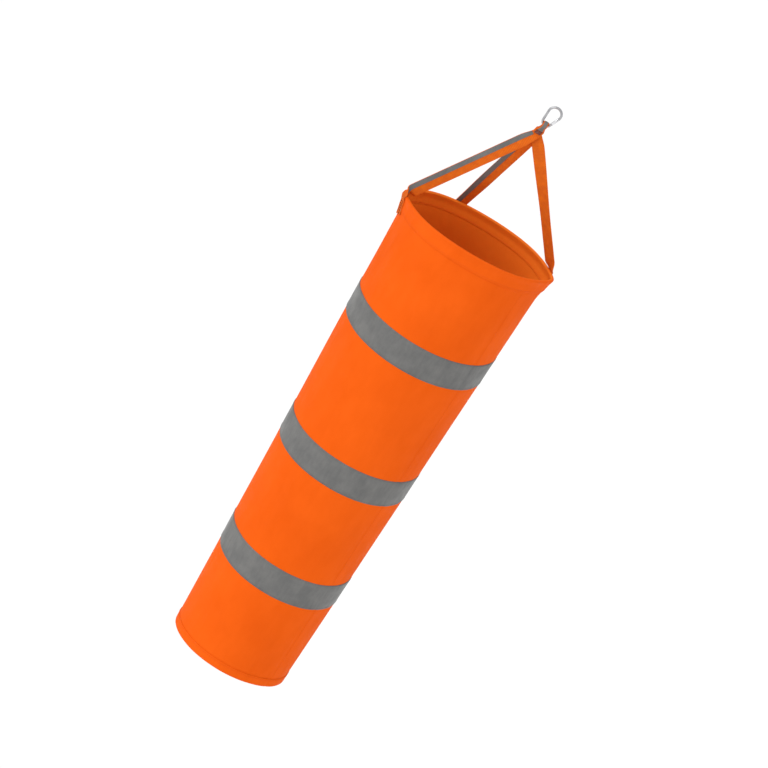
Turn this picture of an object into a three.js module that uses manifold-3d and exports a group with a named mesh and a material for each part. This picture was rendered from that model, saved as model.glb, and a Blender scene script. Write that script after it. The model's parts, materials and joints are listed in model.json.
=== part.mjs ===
// A reflective windsock: a tapered fabric sleeve with three reflective bands, hung from a snap hook
// by three webbing straps. Millimetres, +Z up. The sleeve hangs straight down and its front is -Y.
// The origin is the point inside the hook's upper bow that rests on the pole's ring.
import * as THREE from "three";
import { mergeVertices } from "three/addons/utils/BufferGeometryUtils.js";
import Module from "manifold-3d";

const wasm = await Module();
wasm.setup();

const degrees = THREE.MathUtils.degToRad;
const { smoothstep, lerp } = THREE.MathUtils;
const vec = (x, y, z) => new THREE.Vector3(x, y, z);

// Sleeve
const sleeveLength = 800;
const mouthRadius = 127.2; // the sleeve's own taper, carried up to the mouth
const tailRadius = 98.3;
const clothThickness = 1.2; // stands for the coated cloth with its wrinkles
const sleeveX = -3.3; // its axis, left of the point that the hook hangs from
const mouthZ = -239.5; // plane of the hoop
const mouthSpread = 5.4; // the side straps hold the mouth wider than round...
const mouthPinch = 18; // ...so it is narrower from front to back
const spreadReach = 40; // how far down the sleeve each of them shows
const pinchReach = 110;
const corner = 0.4; // how far the mouth is drawn to a point at its left and right ends
const cornerReach = 70;
const bandBow = 10.4; // straight tape on a tapered sleeve rises towards the back
const tailBow = 3.8;
const around = 48; // facets around the sleeve

// What is sewn to the sleeve
const bandDepths = { upper: 188, middle: 417, lower: 624 };
const bandWidth = 48;
const tapeThickness = 0.7;
const hemPly = 0.9;
const mouthHemHeight = 22;
const tailHemHeight = 14;
const seamWidth = 12;
const seamAngle = degrees(52.5); // on the right of the front
const gap = 0.35; // between layers that touch

// Hoop inside the mouth hem
const hoopWire = 1.25; // radius
const ferruleBore = 1.4;
const ferruleRadius = 1.85;
const ferruleLength = 14;
const hoopPocket = 2.3; // radius of the hem's fold, inside
const hoopOffset = -clothThickness / 2;

// Straps
const strapWidth = 20;
const strapThickness = 1.2;
const stripeWidth = 7.5;
const stripeInset = 0.5; // from the webbing's edge
const stripeThickness = 0.5;
const stripeGap = 0.75; // wider than the other gaps, because the webbing under it twists
const footLength = 30;
const crownX = -8.3;
const crownZ = -49.5; // bottom of the stitching that joins the straps
const crownHeight = 8;
const crownGather = 0.75; // the webbing is gathered to this part of its width there
const gatherReach = 25;
const turnReach = 150;
const crownPitch = 1.9; // spacing of the strap ends stacked there

// Pear-shaped snap hook of 39 x 25 mm, in 4 mm wire
const hookWire = 2; // radius
const upperBow = 10.5; // radius of the wire's centre line
const lowerBow = 7.25;
const bowSpacing = 17;
const hookLean = degrees(13); // its top leans to the right
const flare = Math.asin((upperBow - lowerBow) / bowSpacing); // each side leans out by this

// Gate, along its own axis from the rivet up
const rivetAbove = 2.6; // rivet above the end of the lower bow
const gateRadius = 2.4;
const nosePinAt = 11.9;
const gateEnd = 13.7;
const tongueRadius = 2.2; // flattened ends of the hook's wire
const tongueThickness = 1.4;
const slotWidth = 2;
const pinRadius = 0.7;
const pinHole = 0.88;
const springBore = 1.1;
const springFrom = 5.2;
const springTo = 8;

// Webbing loop on the hook's lower bow
const loopWidth = { top: 9, tail: 15 };
const loopInner = 5.2; // radius around the wire's centre line
const loopThickness = 1.8;
const loopTail = 3.05; // half the space between its two tails

const root = new THREE.Group();

// Materials

const finish = (color, roughness, metalness = 0) =>
  new THREE.MeshStandardMaterial({ color, roughness, metalness });
const orangeCloth = finish(0xff6014, 0.8);
const orangeWebbing = finish(0xf05a10, 0.85);
const greyTape = finish(0x7a7d7d, 0.45);
const thread = finish(0x8a4a2a, 0.7);
const zincPlate = finish(0xc4c6c8, 0.25, 1);
const springSteel = finish(0x9a9c9e, 0.35, 1);

function add(parent, name, geometry, material) {
  const mesh = new THREE.Mesh(geometry, material);
  mesh.name = name;
  parent.add(mesh);
}

// Booleans

function toSolid(geometry) {
  const bare = geometry.clone();
  bare.deleteAttribute("normal");
  bare.deleteAttribute("uv");
  const merged = mergeVertices(bare, 1e-4);
  return new wasm.Manifold(
    new wasm.Mesh({
      numProp: 3,
      vertProperties: new Float32Array(merged.attributes.position.array),
      triVerts: new Uint32Array(merged.index.array),
    }),
  );
}

function toGeometry(solid) {
  const mesh = solid.getMesh();
  const geometry = new THREE.BufferGeometry();
  geometry.setAttribute("position", new THREE.BufferAttribute(mesh.vertProperties, 3));
  geometry.setIndex(new THREE.BufferAttribute(mesh.triVerts, 1));
  geometry.computeVertexNormals();
  return geometry;
}

const join = (...shapes) => toGeometry(shapes.map(toSolid).reduce((all, next) => all.add(next)));

function cut(shape, ...tools) {
  const left = tools.map(toSolid).reduce((solid, tool) => solid.subtract(tool), toSolid(shape));
  return toGeometry(left);
}

const common = (a, b) => toGeometry(toSolid(a).intersect(toSolid(b)));

// Moves every vertex of a geometry to where place() puts it.
function remap(geometry, place) {
  const position = geometry.attributes.position;
  for (let i = 0; i < position.count; i++) {
    const moved = place(vec().fromBufferAttribute(position, i));
    position.setXYZ(i, moved.x, moved.y, moved.z);
  }
  return geometry;
}

// The sleeve's surface

// Falls from 1 at the mouth to 0 at the given reach.
const fade = (depth, reach) => 1 - smoothstep(depth, 0, reach);

function halfAxes(depth) {
  const round = lerp(mouthRadius, tailRadius, Math.max(depth, 0) / sleeveLength);
  return {
    x: round + mouthSpread * fade(depth, spreadReach),
    y: round - mouthPinch * fade(depth, pinchReach),
    point: corner * fade(depth, cornerReach),
  };
}

function bowAt(depth) {
  const rise = smoothstep(depth, 0, bandDepths.upper);
  const fall = smoothstep(depth, bandDepths.lower, sleeveLength);
  return bandBow * rise - (bandBow - tailBow) * fall;
}

// A point on the sleeve. Angle 0 is its front and 90 degrees its right side, depth runs down from the
// hoop, and offset stands off the cloth.
function onSleeve(angle, depth, offset) {
  const lift = bowAt(depth) * (1 - Math.cos(angle));
  const half = halfAxes(depth - lift);
  const narrow = 1 - half.point * Math.sin(angle) ** 6;
  const x = (half.x + offset) * Math.sin(angle);
  const y = -(half.y * narrow + offset) * Math.cos(angle);
  return vec(sleeveX + x, y, mouthZ - depth + lift);
}

// Revolves a closed profile of [offset, depth] pairs around the sleeve.
function sleeveRing(profile) {
  const hub = 100;
  const points = [...profile, profile[0]].map(([offset, depth]) => new THREE.Vector2(hub + offset, -depth));
  const ring = new THREE.LatheGeometry(points, around);
  return remap(ring, (p) => onSleeve(Math.atan2(p.x, -p.z), -p.y, Math.hypot(p.x, p.z) - hub));
}

// Depths at which the sleeve changes slope, so that what lies on it bends where it does.
const sleeveRows = [4.5, 14, 26, 40, 60, 85, 110, 188, 400, 624, 710, sleeveLength];

function sleeve() {
  const outside = sleeveRows.map((depth) => [0, depth]);
  const inside = sleeveRows.map((depth) => [-clothThickness, depth]);
  return sleeveRing([...outside, ...inside.reverse()]);
}

function band(depth) {
  const top = depth - bandWidth / 2;
  const bottom = depth + bandWidth / 2;
  return sleeveRing([
    [gap + tapeThickness, top],
    [gap + tapeThickness, bottom],
    [gap, bottom],
    [gap, top],
  ]);
}

// An arc around the hoop's wire, from its outer side over the top to its inner side.
function overHoop(radius) {
  const steps = 6;
  return Array.from({ length: steps + 1 }, (_, i) => {
    const turn = (Math.PI * i) / steps;
    return [hoopOffset + radius * Math.cos(turn), -radius * Math.sin(turn)];
  });
}

// The hem's cloth is folded over the hoop and the sleeve's top edge, so it is open below.
const hemOut = gap + hemPly; // the hem's outer face above the cloth's
const hemIn = -clothThickness - hemOut;

function mouthHem() {
  const neck = 8; // where the fold closes on the sleeve below the hoop
  const pocketSide = [
    [gap, mouthHemHeight],
    [gap, neck],
    ...overHoop(hoopPocket),
    [-clothThickness - gap, neck],
    [-clothThickness - gap, mouthHemHeight],
  ];
  const coverSide = [
    [hemOut, mouthHemHeight],
    [hemOut, neck],
    ...overHoop(hoopPocket + hemPly),
    [hemIn, neck],
    [hemIn, mouthHemHeight],
  ];
  return sleeveRing([...pocketSide, ...coverSide.reverse()]);
}

function tailHem() {
  const top = sleeveLength - tailHemHeight;
  const fold = sleeveLength + gap;
  return sleeveRing([
    [hemOut, top],
    [hemOut, fold + hemPly],
    [hemIn, fold + hemPly],
    [hemIn, top],
    [-clothThickness - gap, top],
    [-clothThickness - gap, fold],
    [gap, fold],
    [gap, top],
  ]);
}

// The hoop is a wire whose two ends meet in a crimped ferrule at the back.
const alongHoop = (angle, out, up) => onSleeve(angle, 0, hoopOffset + out).add(vec(0, 0, up));

function hoop() {
  const halfTurn = Math.PI - 1 / mouthRadius; // the ends stop 1 mm short of the middle
  const rod = new THREE.CylinderGeometry(hoopWire, hoopWire, 2, 6, 64);
  return remap(rod, (p) => alongHoop(halfTurn * p.y, p.x, p.z));
}

function ferrule() {
  const half = ferruleLength / 2 / mouthRadius; // as an angle
  const wall = [
    [ferruleBore, -half],
    [ferruleRadius, -half],
    [ferruleRadius, half],
    [ferruleBore, half],
    [ferruleBore, -half],
  ].map(([radius, angle]) => new THREE.Vector2(radius, angle));
  return remap(new THREE.LatheGeometry(wall, 12), (p) => alongHoop(Math.PI + p.y, p.x, p.z));
}

// The seam allowance, stitched flat inside the sleeve.
function sideSeam() {
  const top = mouthHemHeight + 5;
  const bottom = sleeveLength - tailHemHeight - 5;
  const rows = [top, ...sleeveRows.filter((depth) => depth > top && depth < bottom), bottom];
  const last = rows.length - 1;
  const strip = new THREE.BoxGeometry(seamWidth, hemPly, 1, 2, 1, last);
  return remap(strip, (p) => {
    const depth = rows[Math.round((0.5 - p.z) * last)];
    return onSleeve(seamAngle - p.x / tailRadius, depth, -clothThickness - gap - hemPly / 2 + p.y);
  });
}

// Straps

const upperBowZ = hookWire - upperBow;
const swingX = -bowSpacing * Math.sin(hookLean); // the wire's centre line where the loop hangs
const swingZ = upperBowZ - bowSpacing * Math.cos(hookLean) - lowerBow;
const crownLean = Math.atan((swingX - crownX) / (swingZ - crownZ));

// Foot is the angle on the rim, layer the place in the stack at the crown. Turn swings the webbing's
// flat side away from the front at the crown, and twistOver is the part of the length, from the foot,
// over which it twists there. Face is the side that the reflective stripe is on, and edge its edge.
// The stripe stops stripeStop stations short of the foot's end.
const straps = {
  left: { foot: degrees(-76), layer: -1, turn: 0.1, twistOver: 0.12, face: 1, edge: -1, stripeStop: 14 },
  right: { foot: degrees(114), layer: 0, turn: -0.7, twistOver: 0.12, face: -1, edge: 1, stripeStop: 14 },
  back: { foot: degrees(-158), layer: 1, turn: -0.5, twistOver: 0.6, face: 1, edge: -1, stripeStop: 7 },
};

// The line of a strap: down through the crown, straight to the rim, over the hem and down its outside.
function strapLine({ foot, layer }) {
  const clear = gap + strapThickness / 2;
  const overHem = hoopOffset + hoopPocket + hemPly + clear;
  const crown = vec(crownX, layer * crownPitch, crownZ);
  const crownTop = crown.clone().add(vec(Math.tan(crownLean), 0, 1).multiplyScalar(crownHeight));
  const rim = onSleeve(foot, -2.6, overHem - 0.7);
  const steps = 32;
  const points = [crownTop, crown];
  for (let i = 1; i <= steps; i++) {
    const along = 1 - (1 - i / steps) ** 1.4; // closer together where the webbing twists
    points.push(crown.clone().lerp(rim, along));
  }
  const hem = [
    [0.4, overHem],
    [4, overHem - 0.6],
    [9, hemOut + clear + 0.2],
    [16, hemOut + clear + 0.1],
    [footLength - 6, hemOut + clear + 0.1],
    [footLength, hemOut + clear + 0.1],
  ];
  return [...points, ...hem.map(([depth, offset]) => onSleeve(foot, depth, offset))];
}

// The same line with, at each point, the directions across the webbing and out of its face.
function strapFrames(strap) {
  const line = strapLine(strap);
  const crown = line[1];
  const rim = line.at(-7);
  const length = crown.distanceTo(rim);
  const onRim = onSleeve(strap.foot - 0.01, 0, 0).sub(onSleeve(strap.foot + 0.01, 0, 0)).normalize();
  return line.map((point, i) => {
    const along = line[Math.min(i + 1, line.length - 1)].clone().sub(line[Math.max(i - 1, 0)]).normalize();
    const fromFoot = i < line.length - 7 ? smoothstep(point.distanceTo(rim) / length, 0, strap.twistOver) : 0;
    const fromCrown = i > 0 ? point.distanceTo(crown) : 0;
    const turn = strap.turn * smoothstep(fromCrown, 0, turnReach);
    const atCrown = vec(1, 0, 0).applyAxisAngle(vec(0, 0, 1), turn);
    const gather = lerp(crownGather, 1, smoothstep(fromCrown, 0, gatherReach));
    const across = onRim.clone().lerp(atCrown, fromFoot);
    across.addScaledVector(along, -across.dot(along)).normalize();
    return { point, across, out: along.clone().cross(across), gather };
  });
}

// A box bent along such a line. Edges are its long edges across the line, faces its two faces.
function ribbon(frames, edges, faces) {
  const rows = frames.length - 1;
  const columns = edges.length - 1;
  return remap(new THREE.BoxGeometry(1, 1, 1, columns, 1, rows), (p) => {
    const { point, across, out, gather } = frames[Math.round((0.5 + p.z) * rows)];
    const width = gather * edges[Math.round((0.5 + p.x) * columns)];
    const height = faces[Math.round(0.5 + p.y)];
    return point.clone().addScaledVector(across, width).addScaledVector(out, height);
  });
}

// A strap carries a reflective stripe along one edge of one face, and a bar tack across its foot.
function addStrap(name, strap) {
  const frames = strapFrames(strap);
  const half = strapWidth / 2;
  const face = strapThickness / 2;
  const far = face + stripeGap + stripeThickness;
  const inner = half - stripeInset - stripeWidth;
  const onSide = (side, near, away) => (side < 0 ? [-away, -near] : [near, away]);
  const stripe = onSide(strap.edge, inner, half - stripeInset);
  const layers = onSide(strap.face, face + stripeGap, far);
  const seen = frames.slice(3, -strap.stripeStop);
  const foot = frames.slice(-3);
  add(root, `strap_${name}`, ribbon(frames, [-half, ...stripe, half], [-face, face]), orangeWebbing);
  add(root, `strap_stripe_${name}`, ribbon(seen, stripe, layers), greyTape);
  add(root, `foot_stitching_${name}`, ribbon(foot, [2 - half, half - 2], [-far, -face - gap]), thread);
}

// Webbing loop

// The loop goes over the hook's wire and its two tails close on the stack of straps. Its line is drawn
// from the side, as [y, z] about the wire's centre line, and its tails widen and lean to the crown.
function loop() {
  const radius = loopInner + loopThickness / 2;
  const tail = loopTail + loopThickness / 2;
  const neck = -10; // where the tails have come together
  const end = crownZ - swingZ + 1;
  const steps = 12;
  const arc = Array.from({ length: steps + 1 }, (_, i) => {
    const turn = Math.PI * (1 - i / steps);
    return [radius * Math.cos(turn), radius * Math.sin(turn)];
  });
  const back = [[radius, -2.6], [tail + 0.9, -6.3], [tail, neck], [tail, (neck + end) / 2], [tail, end]];
  const front = back.map(([y, z]) => [-y, z]).reverse();
  const line = [...front, ...arc, ...back].map(([y, z]) => vec(0, y, z));
  const frames = line.map((middle, i) => {
    const along = line[Math.min(i + 1, line.length - 1)].clone().sub(line[Math.max(i - 1, 0)]).normalize();
    const lean = Math.min(middle.z, 0) * Math.tan(crownLean);
    const across = vec(1, 0, 0);
    return {
      point: middle.clone().add(vec(swingX + lean, 0, swingZ)),
      across,
      out: along.clone().cross(across),
      gather: lerp(loopWidth.top, loopWidth.tail, smoothstep(-middle.z, 3, 13)),
    };
  });
  return ribbon(frames, [-0.5, 0.5], [-loopThickness / 2, loopThickness / 2]);
}

function crownStitching(side) {
  const thickness = 0.8;
  const block = new THREE.BoxGeometry(loopWidth.tail - 4, thickness, crownHeight - 2);
  const stand = loopTail + loopThickness + gap + thickness / 2;
  const middle = crownHeight / 2;
  block.translate(0, side * stand, middle).rotateY(crownLean);
  return block.translate(crownX, 0, crownZ);
}

// Snap hook, in its own plane: x across it towards the gate, z up its length, from the upper bow's centre

const hookFrame = new THREE.Group();
hookFrame.position.z = upperBowZ;
hookFrame.rotation.y = hookLean;
root.add(hookFrame);

// The wire's stations from the nose around the upper bow, down the spine and around the lower bow.
function hookStations() {
  const bow = (centre, radius, from, to, steps) =>
    Array.from({ length: steps + 1 }, (_, i) => {
      const turn = lerp(from, to, i / steps);
      const normal = vec(Math.cos(turn), 0, Math.sin(turn));
      return { normal, point: vec(0, 0, centre).addScaledVector(normal, radius) };
    });
  const upper = bow(0, upperBow, -flare, Math.PI + flare, 16);
  const lower = bow(-bowSpacing, lowerBow, Math.PI + flare, 2 * Math.PI - flare, 12);
  return [...upper, ...lower];
}

function hookWireBody() {
  const stations = hookStations();
  const last = stations.length - 1;
  return remap(new THREE.CylinderGeometry(hookWire, hookWire, 1, 10, last), (p) => {
    const { point, normal } = stations[Math.round((0.5 - p.y) * last)];
    return point.clone().addScaledVector(normal, p.x).add(vec(0, p.z, 0));
  });
}

// The gate's axis runs from the rivet towards the nose, along the open side.
const gateAxis = new THREE.Group();
gateAxis.position.set(lowerBow * Math.cos(flare), 0, -bowSpacing - lowerBow * Math.sin(flare));
gateAxis.rotation.y = flare;
gateAxis.translateZ(rivetAbove);
gateAxis.updateMatrix();
hookFrame.add(gateAxis);

// A flat plate lying in the hook's plane, from a shape drawn as [x, z].
function plate(shape, thickness) {
  const settings = { depth: thickness, bevelEnabled: false, curveSegments: 8 };
  const geometry = new THREE.ExtrudeGeometry(shape, settings);
  return geometry.translate(0, 0, -thickness / 2).rotateX(Math.PI / 2);
}

function outline(...points) {
  return new THREE.Shape(points.map(([x, z]) => new THREE.Vector2(x, z)));
}

function crossPin(radius, length, z) {
  return new THREE.CylinderGeometry(radius, radius, length, 16).translate(0, 0, z);
}

// Flattened lower end of the wire, rounded about the rivet.
function rivetTongue() {
  const shape = new THREE.Shape();
  shape.moveTo(-1.4, -rivetAbove - 1.6);
  shape.lineTo(1.4, -rivetAbove - 1.6);
  shape.lineTo(tongueRadius, 0);
  shape.absarc(0, 0, tongueRadius, 0, Math.PI, false);
  return cut(plate(shape, tongueThickness), crossPin(pinHole, 4, 0));
}

// Flattened upper end, hooked so that the gate's cross pin is held when the hook is loaded.
function noseTongue() {
  const low = nosePinAt - 2.3;
  const high = gateEnd + 2.2;
  const shelf = nosePinAt - 1.1;
  const notchTop = nosePinAt + 1.1;
  const shape = outline([-0.9, low], [1.7, low], [1.7, high], [-1.5, high], [-1.5, shelf], [-0.9, shelf]);
  const notch = outline([-3, shelf], [0.1, shelf], [0.9, nosePinAt], [0.1, notchTop], [-3, notchTop]);
  return cut(plate(shape, tongueThickness), plate(notch, 4));
}

function hookBody() {
  const tongues = [rivetTongue(), noseTongue()].map((tongue) => tongue.applyMatrix4(gateAxis.matrix));
  return join(hookWireBody(), ...tongues);
}

function gate() {
  const bar = new THREE.CylinderGeometry(gateRadius, gateRadius, gateEnd + gateRadius, 12);
  bar.rotateX(Math.PI / 2).translate(0, 0, (gateEnd - gateRadius) / 2);
  const reach = Math.acos(gateRadius / gateEnd);
  const profile = new THREE.Shape();
  profile.absarc(0, 0, gateEnd, reach, Math.PI - reach, false);
  profile.lineTo(-gateRadius, 0);
  profile.absarc(0, 0, gateRadius, Math.PI, 2 * Math.PI, false);
  const lowerSlot = new THREE.BoxGeometry(8, slotWidth, 2 * (tongueRadius + 0.4));
  const upperSlot = new THREE.BoxGeometry(8, slotWidth, 10).translate(0, 0, nosePinAt - 2.7 + 5);
  const bore = new THREE.CylinderGeometry(springBore, springBore, springTo + 0.3, 12);
  bore.rotateX(Math.PI / 2).translate(0, 0, (springTo + 0.3) / 2);
  const holes = [crossPin(pinHole, 8, 0), crossPin(pinHole, 8, nosePinAt)];
  return cut(common(bar, plate(profile, 8)), lowerSlot, upperSlot, bore, ...holes);
}

function rivet() {
  const head = 1.4;
  const reach = gateRadius + 0.15;
  const outside = reach + 0.5;
  const profile = [
    [0, -outside],
    [head, -outside],
    [head, -reach],
    [pinRadius, -reach],
    [pinRadius, reach],
    [head, reach],
    [head, outside],
    [0, outside],
  ].map(([radius, y]) => new THREE.Vector2(radius, y));
  return new THREE.LatheGeometry(profile, 16);
}

function plunger() {
  const profile = [
    [0, tongueRadius + 0.35],
    [0.5, tongueRadius + 0.45],
    [0.85, tongueRadius + 0.8],
    [0.85, springFrom - 0.4],
    [0, springFrom - 0.4],
  ].map(([radius, z]) => new THREE.Vector2(radius, z));
  return new THREE.LatheGeometry(profile, 12).rotateX(Math.PI / 2);
}

function spring() {
  const coils = 3;
  const steps = coils * 10;
  const rod = new THREE.CylinderGeometry(0.2, 0.2, 1, 6, steps);
  return remap(rod, (p) => {
    const along = 0.5 - p.y;
    const turn = 2 * Math.PI * coils * along;
    const radius = 0.75 - p.x;
    return vec(radius * Math.cos(turn), radius * Math.sin(turn), lerp(springFrom, springTo, along) + p.z);
  });
}

add(root, "sock_body", sleeve(), orangeCloth);
for (const [name, depth] of Object.entries(bandDepths)) {
  add(root, `reflective_band_${name}`, band(depth), greyTape);
}
add(root, "mouth_hem", mouthHem(), orangeCloth);
add(root, "tail_hem", tailHem(), orangeCloth);
add(root, "mouth_hoop", hoop(), springSteel);
add(root, "hoop_ferrule", ferrule(), zincPlate);
add(root, "side_seam", sideSeam(), orangeCloth);
for (const [name, strap] of Object.entries(straps)) addStrap(name, strap);
add(root, "webbing_loop", loop(), orangeWebbing);
add(root, "crown_stitching_front", crownStitching(-1), thread);
add(root, "crown_stitching_back", crownStitching(1), thread);
add(hookFrame, "hook_body", hookBody(), zincPlate);
add(gateAxis, "gate", gate(), zincPlate);
add(gateAxis, "gate_rivet", rivet(), springSteel);
add(gateAxis, "nose_pin", crossPin(pinRadius, 4, nosePinAt), springSteel);
add(gateAxis, "gate_plunger", plunger(), springSteel);
add(gateAxis, "gate_spring", spring(), springSteel);

export default root;
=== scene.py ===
import json
import math

import bpy
import numpy as np
from mathutils import Matrix, Vector, noise


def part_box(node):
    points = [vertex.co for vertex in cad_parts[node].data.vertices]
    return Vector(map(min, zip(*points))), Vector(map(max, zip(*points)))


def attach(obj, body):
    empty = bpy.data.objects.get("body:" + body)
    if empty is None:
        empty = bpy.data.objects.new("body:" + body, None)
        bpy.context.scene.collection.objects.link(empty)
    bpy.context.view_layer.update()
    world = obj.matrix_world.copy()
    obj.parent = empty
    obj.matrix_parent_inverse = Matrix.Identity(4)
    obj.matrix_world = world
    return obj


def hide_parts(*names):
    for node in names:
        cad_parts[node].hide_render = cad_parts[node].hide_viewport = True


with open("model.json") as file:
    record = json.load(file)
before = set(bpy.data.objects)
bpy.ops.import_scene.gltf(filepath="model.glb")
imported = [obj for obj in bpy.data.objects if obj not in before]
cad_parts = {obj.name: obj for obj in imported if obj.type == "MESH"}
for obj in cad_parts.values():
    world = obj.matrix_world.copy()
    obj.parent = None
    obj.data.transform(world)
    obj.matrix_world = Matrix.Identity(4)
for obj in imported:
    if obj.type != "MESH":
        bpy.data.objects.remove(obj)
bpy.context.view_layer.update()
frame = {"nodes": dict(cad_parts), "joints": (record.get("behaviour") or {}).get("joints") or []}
print("frame loaded:", len(frame["nodes"]), "nodes")

mm = 0.001
fullTurn = 2 * math.pi
bpy.context.scene.view_settings.view_transform = "Standard"


# small modelling helpers

def clearSelection():
    if bpy.context.object and bpy.context.object.mode != "OBJECT":
        bpy.ops.object.mode_set(mode="OBJECT")
    bpy.ops.object.select_all(action="DESELECT")


def pick(piece):
    clearSelection()
    piece.select_set(True)
    bpy.context.view_layer.objects.active = piece


def named(name):
    piece = bpy.context.object
    piece.name = name
    piece.data.name = name
    return piece


def editMode(piece):
    pick(piece)
    bpy.ops.object.mode_set(mode="EDIT")
    bpy.ops.mesh.select_all(action="SELECT")


def objectMode():
    bpy.ops.object.mode_set(mode="OBJECT")


def applyModifiers(piece):
    pick(piece)
    for modifier in list(piece.modifiers):
        bpy.ops.object.modifier_apply(modifier=modifier.name)


def thicken(piece, thickness, offset=-1.0):
    wall = piece.modifiers.new("Solidify", "SOLIDIFY")
    wall.thickness = thickness
    wall.offset = offset
    applyModifiers(piece)


def roundEdges(piece, width, angle=50, clamp=True):
    edge = piece.modifiers.new("Bevel", "BEVEL")
    edge.use_clamp_overlap = clamp
    edge.width = width
    edge.segments = 2
    edge.limit_method = "ANGLE"
    edge.angle_limit = math.radians(angle)
    applyModifiers(piece)


def mergeDoubles(piece, distance=1e-6):
    editMode(piece)
    bpy.ops.mesh.remove_doubles(threshold=distance)
    bpy.ops.mesh.normals_make_consistent(inside=False)
    objectMode()


def smooth(piece, angle=None):
    pick(piece)
    if angle is None:
        bpy.ops.object.shade_smooth()
    else:
        bpy.ops.object.shade_smooth_by_angle(angle=math.radians(angle))


def combine(piece, tool, operation):
    change = piece.modifiers.new("Boolean", "BOOLEAN")
    change.operation = operation
    change.solver = "EXACT"
    change.object = tool
    applyModifiers(piece)
    bpy.data.objects.remove(tool)
    return piece


def smoothStep(x, low, high):
    t = min(max((x - low) / (high - low), 0.0), 1.0)
    return t * t * (3 - 2 * t)


def mix(a, b, t):
    return a + (b - a) * t


def curveThrough(points, steps):  # a smooth line through the points, steps to each span
    ends = [points[0], *points, points[-1]]
    line = []
    for a, b, c, d in zip(ends, ends[1:], ends[2:], ends[3:]):
        for i in range(steps):
            t = i / steps
            line.append(0.5 * (2 * b + (c - a) * t + (2 * a - 5 * b + 4 * c - d) * t * t
                               + (3 * b - a - 3 * c + d) * t ** 3))
    return [*line, points[-1]]


def stretchOf(items, t):  # the two neighbours at t along a list, and how far it is between them
    at = t * (len(items) - 1)
    low = min(int(at), len(items) - 2)
    return items[low], items[low + 1], at - low


# materials: a socket that takes part in Python expressions, and the surface that its node is on

class Socket:
    def __init__(self, surface, output):
        self.surface = surface
        self.output = output

    def maths(self, operation, *values):
        return self.surface.node("ShaderNodeMath", {"operation": operation}, dict(enumerate(values)))

    def __add__(self, other):
        return self.maths("ADD", self, other)

    def __radd__(self, other):
        return self.maths("ADD", other, self)

    def __sub__(self, other):
        return self.maths("SUBTRACT", self, other)

    def __rsub__(self, other):
        return self.maths("SUBTRACT", other, self)

    def __mul__(self, other):
        return self.maths("MULTIPLY", self, other)

    def __rmul__(self, other):
        return self.maths("MULTIPLY", other, self)

    def __abs__(self):
        return self.maths("ABSOLUTE", self)

    def wave(self, pitch):  # a sine that repeats at this pitch
        return self.maths("SINE", self * (fullTurn / pitch))


class Surface:
    def __init__(self, name, **shader):
        self.material = bpy.data.materials.new(name)
        self.material.use_nodes = True
        self.tree = self.material.node_tree
        self.shader = self.tree.nodes["Principled BSDF"]
        for socket, value in shader.items():
            self.shader.inputs[socket.replace("_", " ")].default_value = value

    def node(self, kind, settings=None, values=None, output=0):
        made = self.tree.nodes.new(kind)
        for name, value in (settings or {}).items():
            setattr(made, name, value)
        for socket, value in (values or {}).items():
            self.feed(made.inputs[socket], value)
        return Socket(self, made.outputs[output])

    def feed(self, target, value):
        if isinstance(value, Socket):
            self.tree.links.new(value.output, target)
        else:
            target.default_value = value

    def set(self, socket, value):
        self.feed(self.shader.inputs[socket], value)

    def onPiece(self):
        return self.node("ShaderNodeTexCoord", output="Object")

    def towardsAxis(self):  # 1 on faces that are turned to the sleeve's axis, 0 on the others
        outward = self.node("ShaderNodeTexCoord", output="Normal")
        level = self.node("ShaderNodeMapping", values={"Vector": self.onPiece(), "Scale": (1, 1, 0)})
        turned = {0: level, 1: outward}
        facing = self.node("ShaderNodeVectorMath", {"operation": "DOT_PRODUCT"}, turned, output="Value")
        return self.ranged(facing, -0.03, 0.0, 1.0, 0.0)

    def onCloth(self):  # across and along the weave, in metres
        flat = self.node("ShaderNodeTexCoord", output="UV")
        split = {"Vector": flat}
        return [self.node("ShaderNodeSeparateXYZ", values=split, output=axis) for axis in ("X", "Y")]

    def noise(self, size, detail=3.0, roughness=0.5, stretch=(1, 1, 1)):
        place = self.node("ShaderNodeMapping", values={"Vector": self.onPiece(), "Scale": stretch})
        values = {"Vector": place, "Scale": 1 / size, "Detail": detail, "Roughness": roughness}
        return self.node("ShaderNodeTexNoise", values=values)

    def between(self, factor, first, second):  # each one a link or a colour
        ends = [end if isinstance(end, Socket) else (*end, 1) for end in (first, second)]
        values = {"Factor": factor, 6: ends[0], 7: ends[1]}
        return self.node("ShaderNodeMix", {"data_type": "RGBA"}, values, output=2)

    def ranged(self, value, low, high, start=0.0, end=1.0):
        values = {"Value": value, "From Min": low, "From Max": high, "To Min": start, "To Max": end}
        return self.node("ShaderNodeMapRange", values=values)

    def bump(self, height, distance, strength, under=None):
        values = {"Height": height, "Distance": distance, "Strength": strength}
        if under:
            values["Normal"] = under
        return self.node("ShaderNodeBump", values=values)


clothLook = {
    "colour": (0.925, 0.126, 0.006),
    "deep": (0.84, 0.106, 0.004),
    "insideLightAndShade": (0.86, 0.178, 0.014),  # its inner face: painted light and shade of the sleeve's inside
    "thread": 0.9 * mm,
    "patch": 90 * mm,  # soft differences in the dye and coating
    "crease": 16 * mm,
    "creaseHeight": 1.1 * mm,
    "weaveHeight": 0.08 * mm,
    "weaveHollowShade": 0.05,
    "roughness": (0.62, 0.80),
}


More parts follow.
